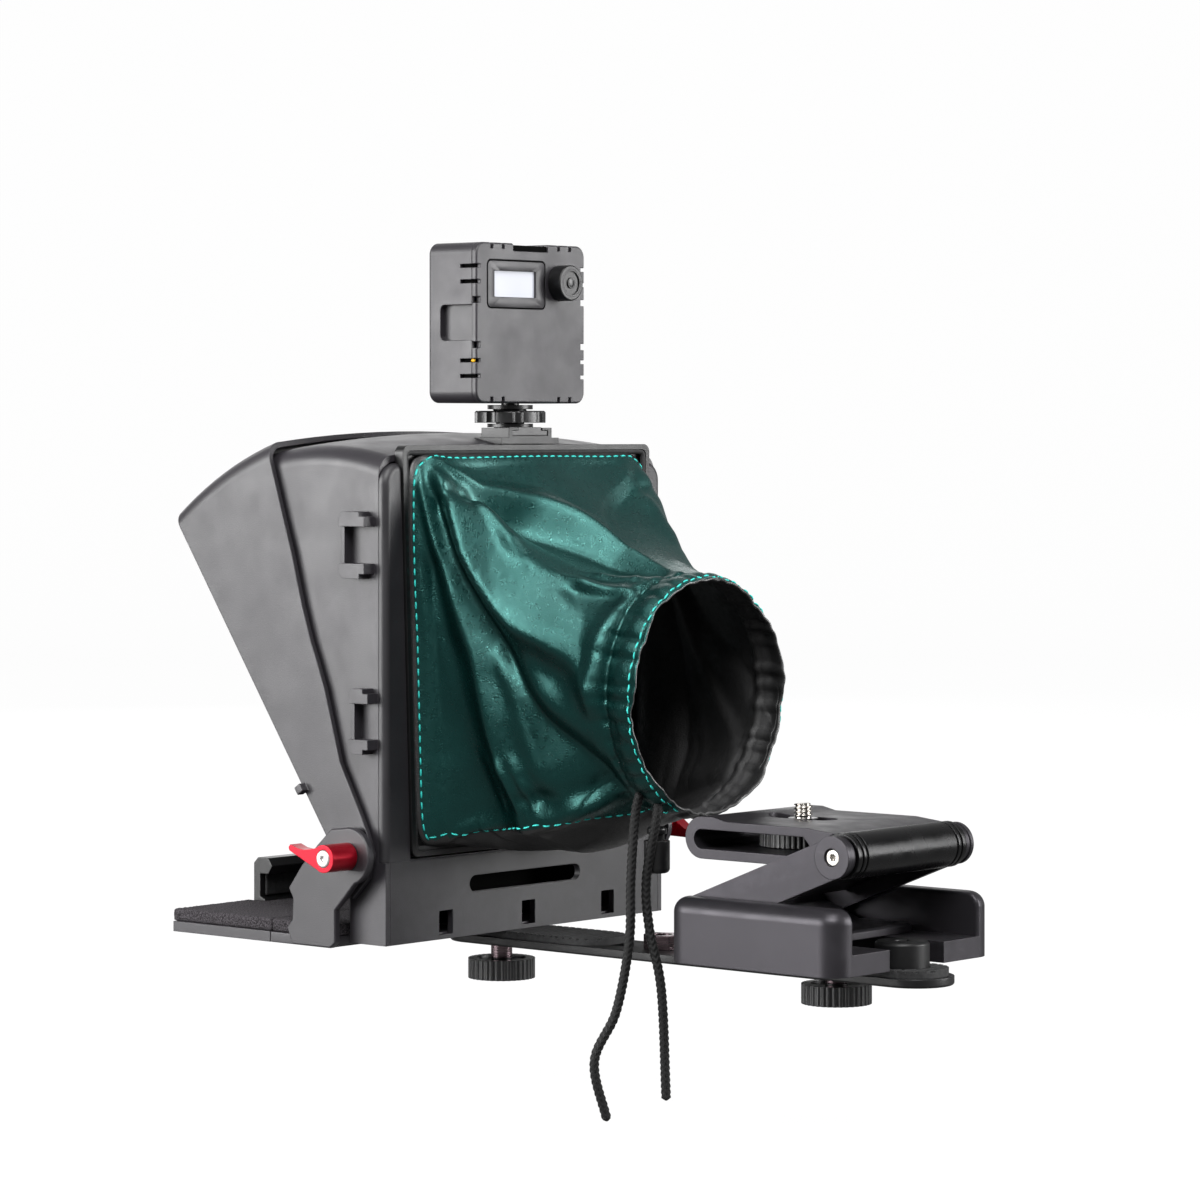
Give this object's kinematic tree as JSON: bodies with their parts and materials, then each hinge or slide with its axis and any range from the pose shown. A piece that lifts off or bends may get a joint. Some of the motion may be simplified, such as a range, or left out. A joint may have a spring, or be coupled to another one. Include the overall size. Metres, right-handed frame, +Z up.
{
  "type": "teleprompter",
  "caption": "Compact phone teleprompter on a rail: hinged beam-splitter glass in a shade housing, tilting phone tray, cloth lens hood, folding camera stage and shoe-mounted light.",
  "frame": {"origin": "axis of the tripod thread at the underside of the rail", "axes": "X across the rig, +Y along the lens axis towards the camera operator, -Y towards the talent, +Z up"},
  "size_m": [0.185, 0.2851, 0.2977],
  "materials": {
    "rail_metal": "satin black powder coat",
    "rubber_pad": "matte ribbed rubber",
    "steel": "brushed",
    "housing_plastic": "satin fine-grained moulded plastic",
    "black_plastic": "satin",
    "hood_leather": "soft satin synthetic leather",
    "cord_braid": "braided",
    "tray_foam": "speckled closed-cell foam",
    "splitter_glass": "polished, half-silvered",
    "red_anodised": "anodised satin",
    "cap_metal": "satin",
    "stage_aluminium": "bead-blasted, anodised",
    "black_anodised": "anodised satin",
    "led_plastic": "fine-grained",
    "diffuser": "frosted",
    "screen": "smooth",
    "board": "solder mask",
    "battery_wrap": "shrink wrap"
  },
  "bodies": {
    "root": {"base_rail": "rail_metal", "rail_pad_front": "rubber_pad", "rail_pad_rear": "rubber_pad", "tripod_nut": "steel", "rail_post": "rail_metal", "housing_shell": "housing_plastic", "rear_frame": "housing_plastic", "hood_rim": "housing_plastic", "housing_screws": "steel", "cold_shoe": "housing_plastic", "glass_hinge_rod": "steel", "pivot_bolts": "steel", "friction_washers": "black_plastic", "cloth_hood": "hood_leather", "drawstring_cord": "cord_braid", "cord_lock_body": "black_plastic"},
    "cord_lock_button": {"cord_lock_button": "black_plastic"},
    "front_thumbscrew": {"front_knob": "black_plastic", "front_knob_shaft": "steel"},
    "shade": {"front_shade": "housing_plastic"},
    "glass": {"glass_pane": "splitter_glass", "glass_channel": "black_plastic", "glass_edge_trims": "rubber_pad"},
    "tray": {"tray_plate": "housing_plastic", "tray_foam": "tray_foam", "tray_arm_right": "housing_plastic", "tray_arm_left": "housing_plastic"},
    "tray_extension": {"extension_plate": "housing_plastic", "extension_foam": "tray_foam", "front_jaw": "black_plastic", "front_jaw_pad": "rubber_pad"},
    "rear_jaw": {"rear_jaw": "black_plastic", "rear_jaw_pad": "rubber_pad"},
    "lever_right": {"lever_right": "red_anodised", "lever_cap_right": "cap_metal"},
    "lever_left": {"lever_left": "red_anodised", "lever_cap_left": "cap_metal"},
    "stage": {"camera_stage": "stage_aluminium", "tilt_base": "stage_aluminium", "lower_hinge_pins": "steel"},
    "rear_thumbscrew": {"rear_knob": "black_plastic", "rear_knob_shaft": "steel"},
    "tilt_link": {"tilt_link": "stage_aluminium"},
    "tilt_top": {"tilt_top": "stage_aluminium", "hinge_barrel": "black_anodised", "barrel_caps": "stage_aluminium", "barrel_pin": "steel"},
    "camera_slider": {"camera_slider": "black_anodised"},
    "camera_screw": {"camera_wheel": "black_plastic", "camera_stud": "steel"},
    "light_adaptor": {"shoe_foot": "black_anodised"},
    "lock_ring": {"lock_ring": "black_anodised"},
    "light": {"led_front_shell": "led_plastic", "led_back_cover": "led_plastic", "led_screen": "screen", "led_diffuser": "diffuser", "led_board": "board", "led_battery": "battery_wrap"},
    "light_dial": {"led_dial": "led_plastic"}
  },
  "joints": [
    {"name": "shade_fold", "type": "hinge", "parent": "root", "child": "shade", "pos_m": [0, -0.0718, 0.0359], "axis": [1, 0, 0], "range_deg": [-10, 0]},
    {"name": "glass_fold", "type": "hinge", "parent": "root", "child": "glass", "pos_m": [0, -0.0723, 0.0441], "axis": [1, 0, 0], "range_deg": [-34, 0]},
    {"name": "tray_tilt", "type": "hinge", "parent": "root", "child": "tray", "pos_m": [0, -0.0718, 0.0359], "axis": [1, 0, 0], "range_deg": [-20, 6]},
    {"name": "tray_extend", "type": "slide", "parent": "tray", "child": "tray_extension", "axis": [0, -1, 0], "range_m": [0, 0.018]},
    {"name": "rear_jaw_slide", "type": "slide", "parent": "tray", "child": "rear_jaw", "axis": [0, -1, 0], "range_m": [0, 0.014]},
    {"name": "lever_right_turn", "type": "hinge", "parent": "root", "child": "lever_right", "pos_m": [0, -0.0718, 0.0359], "axis": [1, 0, 0], "range_deg": [-120, 45]},
    {"name": "lever_left_turn", "type": "hinge", "parent": "root", "child": "lever_left", "pos_m": [0, -0.0718, 0.0359], "axis": [1, 0, 0], "range_deg": [-60, 120]},
    {"name": "front_thumbscrew_turn", "type": "hinge", "parent": "root", "child": "front_thumbscrew", "pos_m": [0, -0.074, 0], "axis": [0, 0, 1], "continuous": true},
    {"name": "cord_lock_press", "type": "slide", "parent": "root", "child": "cord_lock_button", "axis": [0, 0, -1], "range_m": [0, 0.002], "stiffness_N_per_m": 600},
    {"name": "stage_slide", "type": "slide", "parent": "root", "child": "stage", "axis": [0, 1, 0], "range_m": [-0.006, 0.006]},
    {"name": "rear_thumbscrew_turn", "type": "hinge", "parent": "stage", "child": "rear_thumbscrew", "pos_m": [0, 0.075, 0], "axis": [0, 0, 1], "continuous": true},
    {"name": "tilt_lower_hinge", "type": "hinge", "parent": "stage", "child": "tilt_link", "pos_m": [0, 0.0405, 0.0197], "axis": [1, 0, 0], "range_deg": [0, 25]},
    {"name": "tilt_upper_hinge", "type": "hinge", "parent": "tilt_link", "child": "tilt_top", "pos_m": [0, 0.0992, 0.043], "axis": [1, 0, 0], "range_deg": [-50, 0]},
    {"name": "camera_screw_shift", "type": "slide", "parent": "tilt_top", "child": "camera_slider", "axis": [0, 1, 0], "range_m": [-0.005, 0.005]},
    {"name": "camera_screw_turn", "type": "hinge", "parent": "camera_slider", "child": "camera_screw", "pos_m": [0, 0.061, 0.05], "axis": [0, 0, 1], "continuous": true},
    {"name": "light_shoe_slide", "type": "slide", "parent": "root", "child": "light_adaptor", "axis": [0, 1, 0], "range_m": [0, 0.018]},
    {"name": "lock_ring_turn", "type": "hinge", "parent": "light_adaptor", "child": "lock_ring", "pos_m": [0, -0.07, 0.182], "axis": [0, 0, 1], "continuous": true},
    {"name": "light_swivel", "type": "hinge", "parent": "light_adaptor", "child": "light", "pos_m": [0, -0.07, 0.19], "axis": [0, 0, 1], "range_deg": [-90, 90]},
    {"name": "light_dial_turn", "type": "hinge", "parent": "light", "child": "light_dial", "pos_m": [-0.015, -0.057, 0.232], "axis": [0, 1, 0], "continuous": true}
  ]
}
